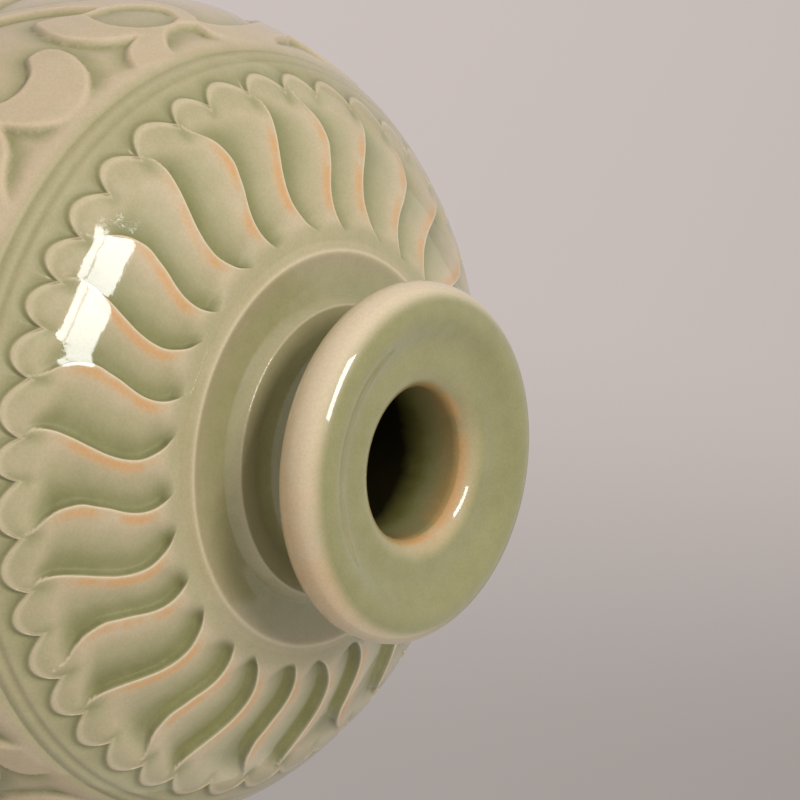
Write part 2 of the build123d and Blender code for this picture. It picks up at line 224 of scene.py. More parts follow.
# Camera, placed against the mouth ring: its lens, its elevation and its roll
LENS = 135.0
SENSOR = 36.0
CAMERA_ELEVATION = 37.65
CAMERA_ROLL = 98.77
CAMERA_DISTANCE = 491.5
CAMERA_RIGHT = -1.47
CAMERA_UP = 10.29
MOUTH_EQUATOR = 257.0

# Window light: two panes with a bar between them, and the room round them
WINDOW_DIRECTION = (-0.44, -0.30, 0.85)
WINDOW_AXIS = (-0.87, 0.37, -0.34)
WINDOW_DISTANCE = 1500.0
WINDOW_LENGTH = 790.0
WIDE_PANE = 270.0
NARROW_PANE = 90.0
WINDOW_BAR = 10.0
PANE_RADIANCE = 15.0
ROOM_STRENGTH = 0.68

# Colours of the glaze by its thickness, running at the near-black end into painted shade; on a crest and in a
# flush
GLAZE_AND_SHADE_STOPS = (
    (0.0, "#c5b393"), (0.1, "#b9aa86"), (0.24, "#a9a078"), (0.4, "#979166"), (0.56, "#868353"),
    (0.7, "#6b6837"), (1.0, "#1e1a0a"),
)
CREST_COLOUR = "#dccaa9"
FLUSH_COLOUR = "#cf9a5e"

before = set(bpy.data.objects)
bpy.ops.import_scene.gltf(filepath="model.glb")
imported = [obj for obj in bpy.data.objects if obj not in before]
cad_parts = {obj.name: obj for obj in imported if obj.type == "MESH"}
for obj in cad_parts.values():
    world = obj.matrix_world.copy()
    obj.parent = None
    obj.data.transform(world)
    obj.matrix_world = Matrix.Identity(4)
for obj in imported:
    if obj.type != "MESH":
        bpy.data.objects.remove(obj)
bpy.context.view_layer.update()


def smoothstep(value):
    """0 below 0 and 1 above 1, with a soft rise between."""
    value = np.clip(value, 0, 1)
    return value * value * (3 - 2 * value)


def hump(value, centre, half_width):
    """1 at the centre, falling away softly on both sides."""
    return np.exp(-(((value - centre) / half_width) ** 2))


def rising(value, start, width):
    """0 before the start, and 1 once the width is passed."""
    return smoothstep((value - start) / width)


def sided(angle, centre, half_width):
    """1 on the side of the vase at an angle, falling away softly round it."""
    return hump((angle - centre + 180) % 360 - 180, 0, half_width)


def blend(low, high, share):
    return low + (high - low) * share


def span_index(knots, places, side="left"):
    """Number of the span between two knots that each place falls in."""
    return np.clip(np.searchsorted(knots, places, side=side) - 1, 0, len(knots) - 2)


def read_curve(points, places):
    """Smooth curve through (place, value) points, read at the places."""
    knots, values = np.array(points, float).T
    slopes = np.gradient(values, knots)
    index = span_index(knots, places)
    width = knots[index + 1] - knots[index]
    share = np.clip((places - knots[index]) / width, 0, 1)
    rise = values[index + 1] - values[index]
    start = slopes[index] * width
    end = slopes[index + 1] * width
    bend = 3 * rise - 2 * start - end
    return values[index] + share * (start + share * (bend + share * (start + end - 2 * rise)))


# The belly arc and the waist arc meet tangentially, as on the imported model
NARROWING = MAX_RADIUS - WAIST_RADIUS
DROP = MAX_RADIUS_LEVEL - WAIST_LEVEL
ARC_SUM = (NARROWING ** 2 + DROP ** 2) / (2 * NARROWING)
BELLY_ARC = ARC_SUM * (MAX_RADIUS_LEVEL - BELLY_TURN_LEVEL) / DROP
WAIST_ARC = ARC_SUM - BELLY_ARC


def dome_level(radius, inset=0.0):
    """Height of the shoulder's dome at a radius, inset from its outer face."""
    share = (radius / (MAX_RADIUS - inset)) ** DOME_EXPONENT
    return MAX_RADIUS_LEVEL + (DOME_RISE - inset) * (1 - share) ** (1 / DOME_EXPONENT)


def body_radius(level, inset=0.0):
    """Radius of the body at a height, inset from its outer face: dome, belly arc, then waist arc."""
    level = np.asarray(level, float)
    above = np.clip((level - MAX_RADIUS_LEVEL) / (DOME_RISE - inset), 0, 1)
    dome = (MAX_RADIUS - inset) * (1 - above ** DOME_EXPONENT) ** (1 / DOME_EXPONENT)
    belly_reach = (BELLY_ARC - inset) ** 2 - (level - MAX_RADIUS_LEVEL) ** 2
    belly = MAX_RADIUS - BELLY_ARC + np.sqrt(np.maximum(belly_reach, 0))
    waist_reach = (WAIST_ARC + inset) ** 2 - (level - WAIST_LEVEL) ** 2
    waist = WAIST_RADIUS + WAIST_ARC - np.sqrt(np.maximum(waist_reach, 0))
    turn = MAX_RADIUS_LEVEL - (BELLY_ARC - inset) * DROP / ARC_SUM
    return np.where(level > MAX_RADIUS_LEVEL, dome, np.where(level > turn, belly, waist))


def body_points(levels, inset=0.0):
    """Outline points of the body at heights, inset from its outer face."""
    return [(float(body_radius(level, inset)), level) for level in levels]


# Levels stacked on the dome
SEAM_LEVEL = dome_level(SEAM_RADIUS)
SEAT_LEVEL = dome_level(COLLAR_RADIUS) - COLLAR_SEAT_DEPTH
LOWER_STEP_TOP = dome_level(COLLAR_RADIUS) + LOWER_STEP_RISE
UPPER_STEP_TOP = LOWER_STEP_TOP + UPPER_STEP_RISE
MOUTH_UNDERSIDE = UPPER_STEP_TOP + NECK_HEIGHT
MOUTH_TOP = MOUTH_UNDERSIDE + MOUTH_THICKNESS

# Radii of the slip grooves, and of the rebate that the collar sits in
BELLY_KEY = float(body_radius(BELLY_SEAM_LEVEL, WALL / 2))
FOOT_KEY = (FOOT_INNER_RADIUS + float(body_radius(FOOT_HEIGHT))) / 2
NECK_KEY = (THROAT_RADIUS + NECK_RADIUS) / 2
SEAT_INNER = COLLAR_RADIUS - COLLAR_SEAT_WIDTH
SEAT_MIDDLE = COLLAR_RADIUS - COLLAR_SEAT_WIDTH / 2


def arc(centre, radius, start, end, count):
    """Points along an arc, from a start angle to an end angle in degrees."""
    angles = np.radians(np.linspace(start, end, count))
    return [(centre[0] + radius * cos(a), centre[1] + radius * sin(a)) for a in angles]


def eased(corner, before, after, radius, count=7):
    """Points of a rounded corner between its two neighbours."""
    corner, before, after = (Vector(point) for point in (corner, before, after))
    start = corner + (before - corner).normalized() * radius
    end = corner + (after - corner).normalized() * radius
    points = []
    for share in np.linspace(0, 1, count):
        near = start.lerp(corner, share)
        far = corner.lerp(end, share)
        points.append(tuple(near.lerp(far, share)))
    return points


def scored(radius, level, slip, side=1):
    """Groove scored in a rim for its slip, read from its outer side to its inner side."""
    half_width, half_depth = slip
    return [(radius + half_width, level), (radius, level + side * half_depth), (radius - half_width, level)]


def lathe(outline, sectors, steps, carved):
    """Outline of (radius, height) points spun through a sector, which is then repeated round the vase's axis.

    The first points of the outline are its carved face.
    """
    bm = bmesh.new()
    face_layer = bm.verts.layers.float.new("carved_face")
    corners = [bm.verts.new((radius * MM, 0, level * MM)) for radius, level in outline]
    for corner in corners[:carved]:
        corner[face_layer] = 1
    for corner, following in zip(corners, corners[1:]):
        bm.edges.new((corner, following))
    if outline[0][0] > 0:
        bm.edges.new((corners[-1], corners[0]))
    sector = tau / sectors
    bmesh.ops.spin(
        bm, geom=bm.verts[:] + bm.edges[:], cent=(0, 0, 0), axis=(0, 0, 1), angle=sector, steps=steps
    )
    bmesh.ops.spin(
        bm, geom=bm.verts[:] + bm.edges[:] + bm.faces[:], cent=(0, 0, 0), axis=(0, 0, 1),
        angle=sector * (sectors - 1), steps=sectors - 1, use_duplicate=True
    )
    bmesh.ops.remove_doubles(bm, verts=bm.verts[:], dist=0.001 * MM)
    bmesh.ops.recalc_face_normals(bm, faces=bm.faces[:])
    return bm


def add_object(name, data):
    """Object of the scene that shows a mesh, a lamp or a camera."""
    item = bpy.data.objects.new(name, data)
    bpy.context.scene.collection.objects.link(item)
    return item


def finish_piece(name, bm, nodes, material):
    """Turns a worked mesh into a piece of the vase that stands for its CAD nodes."""
    mesh = bpy.data.meshes.new(name)
    bm.to_mesh(mesh)
    bm.free()
    mesh.polygons.foreach_set("use_smooth", np.ones(len(mesh.polygons), bool))
    piece = add_object(name, mesh)
    mesh.materials.append(material)
    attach(piece, "root")
    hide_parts(*nodes)
    return piece


class Surface:
    """The vertices of a piece as radius, angle in degrees and height, with the glaze that lies on them."""

    def __init__(self, piece):
        self.mesh = piece.data
        count = len(self.mesh.vertices)
        flat = np.empty(count * 3, np.float32)
        self.mesh.vertices.foreach_get("co", flat)
        x, y, z = flat.reshape(-1, 3).astype(float).T / MM
        self.radius = np.hypot(x, y)
        self.angle = np.degrees(np.arctan2(y, x))
        self.level = z
        marks = np.empty(count, np.float32)
        self.mesh.attributes["carved_face"].data.foreach_get("value", marks)
        self.carved = marks > CARVED_MARK
        self.mesh.attributes.remove(self.mesh.attributes["carved_face"])
        self.outward, self.upward, self.depth = np.zeros((3, count))
        self.pool, self.crest, self.flush = np.zeros((3, count))

    def face(self, outward, upward):
        """Notes which way the carved face looks, from the fall of its profile."""
        length = np.hypot(outward, upward)
        self.outward[self.carved] = outward / length
        self.upward[self.carved] = upward / length

    def lay_on_dome(self, radius):
        """Lays the carved face on the shoulder's dome."""
        self.radius[self.carved] = radius
        self.level[self.carved] = dome_level(radius)
        self.face(dome_level(radius - SLOPE_REACH) - dome_level(radius + SLOPE_REACH), 2 * SLOPE_REACH)

    def lay_on_body(self):
        """Lays the carved face on the body's curve, at the heights that it has."""
        level = self.level[self.carved]
        self.radius[self.carved] = body_radius(level)
        self.face(2 * SLOPE_REACH, body_radius(level - SLOPE_REACH) - body_radius(level + SLOPE_REACH))

    def dress(self, depth, pool, crest, flush):
        """Gives the carved face its carving and its glaze, and the plain faces their thick glaze."""
        for name, values in (("depth", depth), ("pool", pool), ("crest", crest), ("flush", flush)):
            getattr(self, name)[self.carved] = values
        self.pool[~self.carved] = PLAIN_POOL

    def levelled(self, values):
        """Values evened out between neighbours, as glaze levels itself over the clay while it melts."""
        ends = np.empty(len(self.mesh.edges) * 2, np.int32)
        self.mesh.edges.foreach_get("vertices", ends)
        first, second = ends.reshape(-1, 2).T
        count = len(values)
        neighbours = np.bincount(ends, minlength=count)
        for _ in range(SKIN_PASSES):
            total = np.bincount(first, values[second], count) + np.bincount(second, values[first], count)
            values = (1 - SKIN_SPREAD) * values + SKIN_SPREAD * total / neighbours
        return values

    def put(self, depth):
        """Puts the vertices on the mesh, with the carved face sunk square to the body by a depth."""
        radius = self.radius - depth * self.outward
        turn = np.radians(self.angle)
        level = self.level - depth * self.upward
        place = np.stack([radius * np.cos(turn), radius * np.sin(turn), level], axis=1)
        self.mesh.vertices.foreach_set("co", (place * MM).astype(np.float32).ravel())
        self.mesh.update()

    def write(self):
        """Puts the vertices and the glaze on the mesh.

        The skin of the glaze has normals of its own, because it lies smoother than the clay that it covers.
        """
        self.put(self.levelled(self.depth) * SKIN_RELIEF)
        self.mesh.set_sharp_from_angle(angle=radians(SKIN_SHARP_ANGLE))
        normals = np.empty(len(self.mesh.loops) * 3, np.float32)
        self.mesh.corner_normals.foreach_get("vector", normals)
        self.mesh.attributes.new("skin", "FLOAT_VECTOR", "CORNER").data.foreach_set("vector", normals)
        self.put(self.depth)
        for name in ("pool", "crest", "flush"):
            layer = self.mesh.attributes.new(name, "FLOAT", "POINT")
            layer.data.foreach_set("value", getattr(self, name).astype(np.float32))
        self.mesh.set_sharp_from_angle(angle=radians(CLAY_SHARP_ANGLE))
        self.mesh.update()


def make_piece(name, node, outline, material, sectors, steps, carved=None, refine=None):
    """Lathes a piece that stands for a CAD node. All its outline is carved face unless a count is given."""
    bm = lathe(outline, sectors, steps, carved or len(outline))
    if refine:
        refine(bm)
    return Surface(finish_piece(name, bm, [node], material))


# Carved shoulder


def petal_starts():
    """Angle of each petal's edge, and of the first one again after a full turn."""
    pitch = 360 / PETAL_COUNT
    starts = [PETAL_START_ANGLE + pitch * index + row[0] for index, row in enumerate(PETAL_UNEVENNESS)]
    return np.array(starts + [starts[0] + 360])


def lobe_cusps():
    """Angles of all the cusps, three to a petal, and of the first one again after a full turn."""
    starts = petal_starts()
    cusps = []
    for index, row in enumerate(PETAL_UNEVENNESS):
        width = starts[index + 1] - starts[index]
        cusps += [starts[index], starts[index] + row[2] * width, starts[index] + row[3] * width]
    return np.array(cusps + [cusps[0] + 360])


def long_ridge(petal, radius):
    """Angle of the ridge at a petal's edge."""
    return petal_starts()[petal] + read_curve(LONG_RIDGE_SWING, radius)


def short_ridge(petal, radius):
    """Angle of the ridge within a petal."""
    nudges = np.array([row[1] for row in PETAL_UNEVENNESS])
    return petal_starts()[petal] + SHORT_RIDGE_ANGLE + nudges[petal] + read_curve(SHORT_RIDGE_SWING, radius)


def find_lobe(angle):
    """The cusps, the angle brought within a turn of the first one, and the lobe that it falls in."""
    cusps = lobe_cusps()
    angle = (angle - cusps[0]) % 360 + cusps[0]
    return cusps, angle, span_index(cusps, angle, "right")


def lobe_outline(angle):
    """Radius of the scalloped edge at an angle: each lobe an arc, leaning over the next one."""
    cusps, angle, lobe = find_lobe(angle)
    share = (angle - cusps[lobe]) / (cusps[lobe + 1] - cusps[lobe])
    half_chord = np.radians(cusps[lobe + 1] - cusps[lobe]) * LOBE_CUSP_RADIUS / 2
    height = LOBE_TIP_RADIUS - LOBE_CUSP_RADIUS
    arc_radius = (half_chord ** 2 + height ** 2) / (2 * height)
    across = (2 * share ** LOBE_LEAN - 1) * half_chord
    return LOBE_CUSP_RADIUS + np.sqrt(arc_radius ** 2 - across ** 2) - (arc_radius - height)


def shoulder_grid(base_radius, step):
    """Radius and angle of each grid point of the shoulder, so that grid lines follow ridges and scallops."""
    petal = step // STEPS_PER_PETAL
    within = step % STEPS_PER_PETAL
    to_long = within >= STEPS_TO_SHORT_RIDGE
    share = np.where(
        to_long,
        (within - STEPS_TO_SHORT_RIDGE) / (STEPS_PER_PETAL - STEPS_TO_SHORT_RIDGE),
        within / STEPS_TO_SHORT_RIDGE,
    )
    share = share - RIDGE_CROWDING * np.sin(tau * share) / tau
    first = np.where(to_long, short_ridge(petal, base_radius), long_ridge(petal, base_radius))
    second = np.where(to_long, long_ridge(petal + 1, base_radius), short_ridge(petal, base_radius))
    ridge_angle = blend(first, second, share)
    lobe = step // STEPS_PER_LOBE
    lobe_share = step % STEPS_PER_LOBE / STEPS_PER_LOBE
    lobe_share = lobe_share - LOBE_CROWDING * np.sin(tau * lobe_share) / tau
    cusps = lobe_cusps()
    ridge_shift = read_curve(LONG_RIDGE_SWING, base_radius) * (base_radius < 60)
    first_cusp = cusps[lobe] + ridge_shift * (lobe % LOBES_PER_PETAL == 0)
    second_cusp = cusps[lobe + 1] + ridge_shift * ((lobe + 1) % LOBES_PER_PETAL == 0)
    lobe_angle = blend(first_cusp, second_cusp, lobe_share)
    even_angle = PETAL_START_ANGLE + 360 * step / SHOULDER_STEPS
    angle = blend(ridge_angle, lobe_angle, rising(base_radius, *LOBE_GRID))
    angle = blend(angle, even_angle, rising(base_radius, *EVEN_GRID))
    angle = blend(even_angle, angle, smoothstep(base_radius - COLLAR_RADIUS))
    inward = rising(base_radius, *EDGE_PULL)
    outward = 1 - rising(base_radius, *EDGE_RELEASE)
    edge = lobe_outline(blend(cusps[lobe], cusps[lobe + 1], lobe_share))
    radius = base_radius + inward * outward * (edge - EDGE_BASE_RADIUS)
    return radius, angle


def shoulder_relief(radius, angle):
    """Depth of the carving at a place on the dome, and the glaze that lies in it."""
    starts = petal_starts()
    swung = angle - read_curve(LONG_RIDGE_SWING, radius)
    swung = (swung - starts[0] + ANGLE_MARGIN) % 360 + starts[0] - ANGLE_MARGIN
    petal = span_index(starts, swung + ANGLE_MARGIN, "right")
    angle = swung + read_curve(LONG_RIDGE_SWING, radius)
    long_angle = long_ridge(petal, radius)
    short_angle = short_ridge(petal, radius)
    next_angle = long_ridge(petal + 1, radius)
    to_long = angle >= short_angle - ANGLE_MARGIN
    first = np.where(to_long, short_angle, long_angle)
    second = np.where(to_long, next_angle, short_angle)
    share = np.clip((angle - first) / (second - first), 0, 1)
    width = np.radians(second - first) * radius

    # The hollow deepens away from one crest and ends in a steep wall under the next
    hollow_end = np.where(to_long, 58.8 + 2.2 * share ** 2, 59.6 + 0.6 * share)
    outer_fade = smoothstep((hollow_end - radius) / np.where(to_long, 6.5 - 1.5 * share, 5.6))
    root = RIDGE_ROOT_RADIUS + 0.2 + 2.4 * (1 - share) ** 1.5
    inner_fade = smoothstep((radius - root) / blend(4.0, 1.8, share))
    ramp = smoothstep(share / 0.9) ** 0.8
    from_wall = (1 - share) * width
    wall = from_wall ** 2 / (from_wall ** 2 + RIDGE_WALL ** 2)
    outline = lobe_outline(angle)
    outside = radius - outline
    reach = outer_fade * inner_fade * (1 - smoothstep((outside + 0.9) / 0.9))
    hollow = reach * ramp * wall

    # The band outside the lobes is deepest at their foot
    band_share = np.clip(outside / (BAND_OUTER_RADIUS - outline), 0, 1)
    band = smoothstep(outside / LOBE_WALL) * (1 - band_share) ** 1.3
    inner_line = hump(radius, INNER_LINE_RADIUS, LINE_HALF_WIDTH)
    seam_line = hump(radius, SEAM_RADIUS, LINE_HALF_WIDTH)

    # Between lobes the pads meet in a shallow valley
    cusps, wrapped, lobe = find_lobe(angle)
    to_cusp = np.minimum(wrapped - cusps[lobe], cusps[lobe + 1] - wrapped)
    on_pad = (outside < 0) * rising(radius, 55.0, 3.0) * (1 - hollow)
    valley = on_pad * hump(np.radians(to_cusp) * radius, 0, 1.2)
    depth = CARVING_DEPTH * hollow + BAND_DEPTH * band + LINE_DEPTH * (inner_line + seam_line) + 0.35 * valley

    shade = 0.5 * rising(share, 0.08, 0.55) + 0.6 * rising(share, 0.5, 0.4)
    pool = reach * shade * smoothstep(from_wall / (0.45 * RIDGE_WALL))
    band_pool = 0.36 + 0.74 * (1 - band_share) ** 1.2
    pool = np.maximum(pool, smoothstep(outside / 0.5) * band_pool * (1 - rising(radius, 65.6, 0.8)))
    pool = np.maximum(pool, 0.4 * valley + 0.3 * on_pad)
    pool = pool + 0.2 * inner_line + 0.2 * seam_line + 0.06 + 0.36 * (1 - rising(radius, 36.5, 2.5))
    from_crest = np.minimum(share * width, 3.0 * from_wall)
    along = rising(radius, 36.5, 2) * (1 - smoothstep((radius - hollow_end + 1.0) / 2))
    crest = hump(from_crest, 0, 0.28) * along
    crest = np.maximum(crest, 0.5 * hump(outside, -0.3, 0.4))
    flush = hump(share * width, 1.0, 0.95) * rising(radius, 38, 4) * (1 - rising(radius, 51, 6))
    return depth, pool, crest, flush


def carve_shoulder(glaze):
    """Upper part of the shoulder section: the petalled dome, from the collar's seat to the outer line."""
    base = []
    for (radius, rings), following in zip(RING_RUNS, RING_RUNS[1:] + ((SEAM_RADIUS, 1),)):
        base += list(np.linspace(radius, following[0], rings, endpoint=False))
    base = np.array(base + [SEAM_RADIUS])
    inner_radii = np.linspace(float(body_radius(SEAM_LEVEL, WALL)), SEAT_INNER, 14)
    outline = [(radius, dome_level(radius)) for radius in base]
    outline += [(radius, dome_level(radius, WALL)) for radius in inner_radii]
    outline += [(SEAT_INNER, SEAT_LEVEL)]
    outline += scored(SEAT_MIDDLE, SEAT_LEVEL, NECK_SLIP, -1)[::-1]
    outline += [(COLLAR_RADIUS, SEAT_LEVEL)]
    surface = make_piece(
        "carved_shoulder", "shoulder_body", outline, glaze, PETAL_COUNT, STEPS_PER_PETAL, len(base)
    )
    carved = surface.carved
    step = np.rint(surface.angle[carved] / 360 * SHOULDER_STEPS).astype(int) % SHOULDER_STEPS
    ring = np.abs(surface.radius[carved][:, None] - base[None, :]).argmin(axis=1)
    radius, angle = shoulder_grid(base[ring], step)
    surface.angle[carved] = angle
    surface.lay_on_dome(radius)
    surface.dress(*shoulder_relief(radius, angle))
    surface.write()


# Scrolled belly


def smooth_edge(points, per_span=6):
    """Smooth open curve through points, as places and heights in millimetres of the unrolled surface."""
    points = np.array(points, float)
    spans = np.arange(len(points))
    fine = np.linspace(0, len(points) - 1, (len(points) - 1) * per_span + 1)
    return np.stack([read_curve(np.stack([spans, points[:, axis]], axis=1), fine) for axis in (0, 1)], axis=1)


def closed_outline(edges):
    """One closed outline from the smooth edges that meet in its corners."""
    return np.concatenate([smooth_edge(edge)[:-1] for edge in edges])


def edge_distance(places, start, end):
    """Distance from each place to a straight run."""
    along = end - start
    share = np.clip(((places - start) @ along) / (along @ along), 0, 1)
    return np.hypot(*(places - start - share[:, None] * along).T)


def line_distance(places, points):
    """Distance from each place to a line through points."""
    distance = np.full(len(places), np.inf)
    for start, end in zip(points, points[1:]):
        distance = np.minimum(distance, edge_distance(places, start, end))
    return distance


def signed_distance(places, outline):
    """Distance to a closed outline, negative inside it."""
    closed = np.concatenate([outline, outline[:1]])
    inside = np.zeros(len(places), bool)
    for start, end in zip(closed, closed[1:]):
        crosses = (start[1] > places[:, 1]) != (end[1] > places[:, 1])
        with np.errstate(divide="ignore", invalid="ignore"):
            reach = start[0] + (places[:, 1] - start[1]) / (end[1] - start[1]) * (end[0] - start[0])
        inside ^= crosses & (places[:, 0] < reach)
    distance = line_distance(places, closed)
    return np.where(inside, -distance, distance)


def stroke_distance(places, points, width):
    """Distance to the side of a stem of even width, negative inside it."""
    return line_distance(places, smooth_edge(points)) - width / 2


def unroll(points):
    """Degrees and heights as millimetres on the unrolled belly."""
    points = np.array(points, float)
    return np.stack([np.radians(points[:, 0]) * SCROLL_RADIUS, points[:, 1]], axis=1)


def turned(points):
    """The same points turned half round, for the row below the main stem."""
    points = np.array(points, float)
    return np.stack([SCROLL_PITCH * 1.5 - points[:, 0], 2 * SCROLL_TURN_LEVEL - points[:, 1]], axis=1)


def scroll_distances(places):
    """Distance to the raised scroll and to its sunk hollows, for places given in degrees and height."""
    places, repeat = np.unique(np.round(places, 4), axis=0, return_inverse=True)
    flat = unroll(places)
    raised = np.full(len(places), np.inf)
    hollow = np.full(len(places), np.inf)
    pitch = np.array([radians(SCROLL_PITCH) * SCROLL_RADIUS, 0.0])
    for shift in (-1, 0, 1):
        moved = flat - shift * pitch
        for turn in (lambda points: points, turned):
            for leaf in (COMMA_LEAF, BUD_LEAF, BROAD_LEAF):
                outline = closed_outline([unroll(turn(edge)) for edge in leaf])
                raised = np.minimum(raised, signed_distance(moved, outline))
            for stem in (COMMA_STEM, BUD_STEM, BROAD_STEM):
                raised = np.minimum(raised, stroke_distance(moved, unroll(turn(stem)), STEM_WIDTH))
            outline = closed_outline([unroll(turn(edge)) for edge in BUD_HOLLOW])
            hollow = np.minimum(hollow, signed_distance(moved, outline))
        raised = np.minimum(raised, stroke_distance(moved, unroll(MAIN_STEM), STEM_WIDTH * 1.3))
    return raised[repeat.ravel()], hollow[repeat.ravel()]


def unit_places(angle, level):
    """Places within one unit of the scroll, in degrees and height."""
    return np.stack([(angle - SCROLL_START_ANGLE) % SCROLL_PITCH, level], axis=1)


def scroll_relief(places, raised, hollow):
    """Depth of the scroll's ground and hollows, and the glaze that lies in them."""
    level = places[:, 1]
    framed = smoothstep((SEAM_LEVEL - 1.2 - level) / 4) * smoothstep((level - LOWER_LINE_LEVEL - 1.0) / 4)
    slope = 1 / (1 + (np.maximum(raised, 0) / SCROLL_SLOPE) ** 2)
    ground = smoothstep(raised / SCROLL_WALL) * slope * framed
    sunk = smoothstep(-hollow / SCROLL_WALL) * (0.35 + 0.65 / (1 + (hollow / 2.2) ** 2))
    seam_line = hump(level, SEAM_LEVEL, LINE_HALF_WIDTH)
    low_line = hump(level, LOWER_LINE_LEVEL, LINE_HALF_WIDTH * 1.6)
    low_line = low_line + hump(level, LOWER_LINE_LEVEL - LOWER_LINE_GAP, LINE_HALF_WIDTH * 1.6)
    depth = SCROLL_DEPTH * ground + 0.9 * sunk + LINE_DEPTH * (seam_line + low_line)
    pool = np.maximum(ground ** 1.4, 0.9 * sunk) + 0.2 * seam_line + 0.35 * low_line
    pool = 0.95 * pool + 0.35 * (1 - smoothstep((SEAM_LEVEL - level) / 2.0))
    pool = pool + 0.3 * (1 - rising(level, LOWER_LINE_LEVEL, 20))
    crest = hump(raised, -0.2, 0.35) * framed
    crest = np.maximum(crest, hump(hollow, 0.15, 0.35))
    return depth, pool, 0.5 * crest, 0.2 * crest


def refine_carving(bm):
    """Splits the faces along the edges of the leaves, where the relief is steep."""
    layer = bm.verts.layers.float["carved_face"]
    corners = [vert for vert in bm.verts if vert[layer] > CARVED_MARK]
    angle = np.array([np.degrees(atan2(vert.co.y, vert.co.x)) for vert in corners])
    level = np.array([vert.co.z / MM for vert in corners])
    raised, hollow = scroll_distances(unit_places(angle, level))
    near = np.minimum(np.abs(raised), np.abs(hollow)) < SCROLL_FINE_REACH
    chosen = {vert for vert, close in zip(corners, near) if close}
    edges = [edge for edge in bm.edges if edge.verts[0] in chosen and edge.verts[1] in chosen]
    bmesh.ops.subdivide_edges(bm, edges=edges, cuts=1, use_grid_fill=True)


def carve_belly(glaze):
    """Lower part of the shoulder section: the belly with its scroll, down to the luted seam."""
    levels = np.linspace(SEAM_LEVEL, BELLY_SEAM_LEVEL, 108)
    outline = body_points(levels)
    outline += scored(BELLY_KEY, BELLY_SEAM_LEVEL, WIDE_SLIP)
    outline += body_points(levels[::-4], WALL)
    outline += body_points([SEAM_LEVEL], WALL)
    surface = make_piece(
        "scrolled_belly", "shoulder_body", outline, glaze, SCROLL_REPEATS, STEPS_PER_SCROLL, len(levels),
        refine=refine_carving,
    )
    places = unit_places(surface.angle[surface.carved], surface.level[surface.carved])
    surface.lay_on_body()
    surface.dress(*scroll_relief(places, *scroll_distances(places)))
    surface.write()


# Lower body


def foot_petal(shrink):
    """Outline of an upright petal: straight sides that draw in to a point, made smaller all round."""
    half = pi * FOOT_PETAL_RADIUS / FOOT_PETAL_COUNT - FOOT_PETAL_GAP / 2 - shrink
    low = FOOT_PETAL_LOW + shrink
    high = FOOT_PETAL_HIGH - 1.8 * shrink
    shares = ((1.0, 0.0), (1.0, 0.45), (0.93, 0.68), (0.66, 0.84), (0.24, 0.94), (0.0, 1.0))
    right = [(half * across, blend(low, high, up)) for across, up in shares]
    left = [(-across, up) for across, up in right[::-1]]
    return np.concatenate([smooth_edge(right)[:-1], smooth_edge(left)])


def carve_lower_body(glaze):
    """Lower section, foot to belly, with a row of upright petals."""
    fine_level = FOOT_LINE_LEVEL + 4
    levels = np.concatenate([
        np.linspace(BELLY_SEAM_LEVEL, fine_level, 32, endpoint=False),
        np.linspace(fine_level, FOOT_HEIGHT, 96),
    ])
    outline = body_points(levels)
    outline += scored(FOOT_KEY, FOOT_HEIGHT, WIDE_SLIP)
    outline += [(LEDGE_INNER_RADIUS, FOOT_HEIGHT), (LEDGE_INNER_RADIUS, LEDGE_TOP)]
    outline += [(DISC_RADIUS + LAP_CLEARANCE, LEDGE_TOP), (DISC_RADIUS + LAP_CLEARANCE, FLOOR_TOP)]
    outline += body_points(np.linspace(FLOOR_TOP, BELLY_SEAM_LEVEL, 24), WALL)
    outline += scored(BELLY_KEY, BELLY_SEAM_LEVEL, WIDE_SLIP, -1)[::-1]
    surface = make_piece("lower_section", "lower_body", outline, glaze, FOOT_PETAL_COUNT, 36, len(levels))
    carved = surface.carved
    pitch = 360 / FOOT_PETAL_COUNT
    across = np.radians((surface.angle[carved] + pitch / 2) % pitch - pitch / 2) * FOOT_PETAL_RADIUS
    level = surface.level[carved]
    places = np.stack([across, level], axis=1)
    low_part = level < FOOT_LINE_LEVEL
    edge, inner = np.full((2, len(level)), FAR)
    edge[low_part] = signed_distance(places[low_part], foot_petal(0))
    inner[low_part] = signed_distance(places[low_part], foot_petal(2.4))
    slope = 1 / (1 + (np.maximum(edge, 0) / 2.2) ** 2)
    framed = rising(level, FOOT_PETAL_LOW, 1.5)
    ground = smoothstep(edge / 0.7) * slope * framed
    groove = hump(inner, 0, 0.45) * (edge < 0)
    vein = hump(across, 0, 0.45) * (inner < -1.5) * rising(level, 18, 6)
    line = hump(level, FOOT_LINE_LEVEL, 0.5) + hump(level, FOOT_LINE_LEVEL + LOWER_LINE_GAP, 0.5)
    depth = FOOT_PETAL_DEPTH * ground + 0.4 * groove + 0.25 * vein + LINE_DEPTH * line
    pool = ground + 0.45 * groove + 0.3 * vein + 0.4 * line
    pool = pool + (0.35 * (1 - rising(level, 8, 14)) + 0.18)
    surface.lay_on_body()
    surface.dress(depth, pool, hump(edge, -0.3, 0.45) * framed, 0)
    surface.write()


# Collar, neck, mouth, floor and foot


def paint_throat_shade(surface):
    """Paints shade down the inside of the mouth and neck: brown glaze near the lip, then painted shade that
    turns dark below it.
    """
    inside = surface.radius < THROAT_RADIUS + 0.2
    fall = MOUTH_TOP - surface.level[inside]
    # Painted shade: the glaze's colour darkens towards near black as the throat falls away below the lip
    surface.pool[inside] = 0.9 + 1.5 * rising(fall, 7.0, 14.0)
    surface.flush[inside] = 0.6 * (1 - rising(fall, 4.0, 6.0))
    surface.crest[inside] = 0


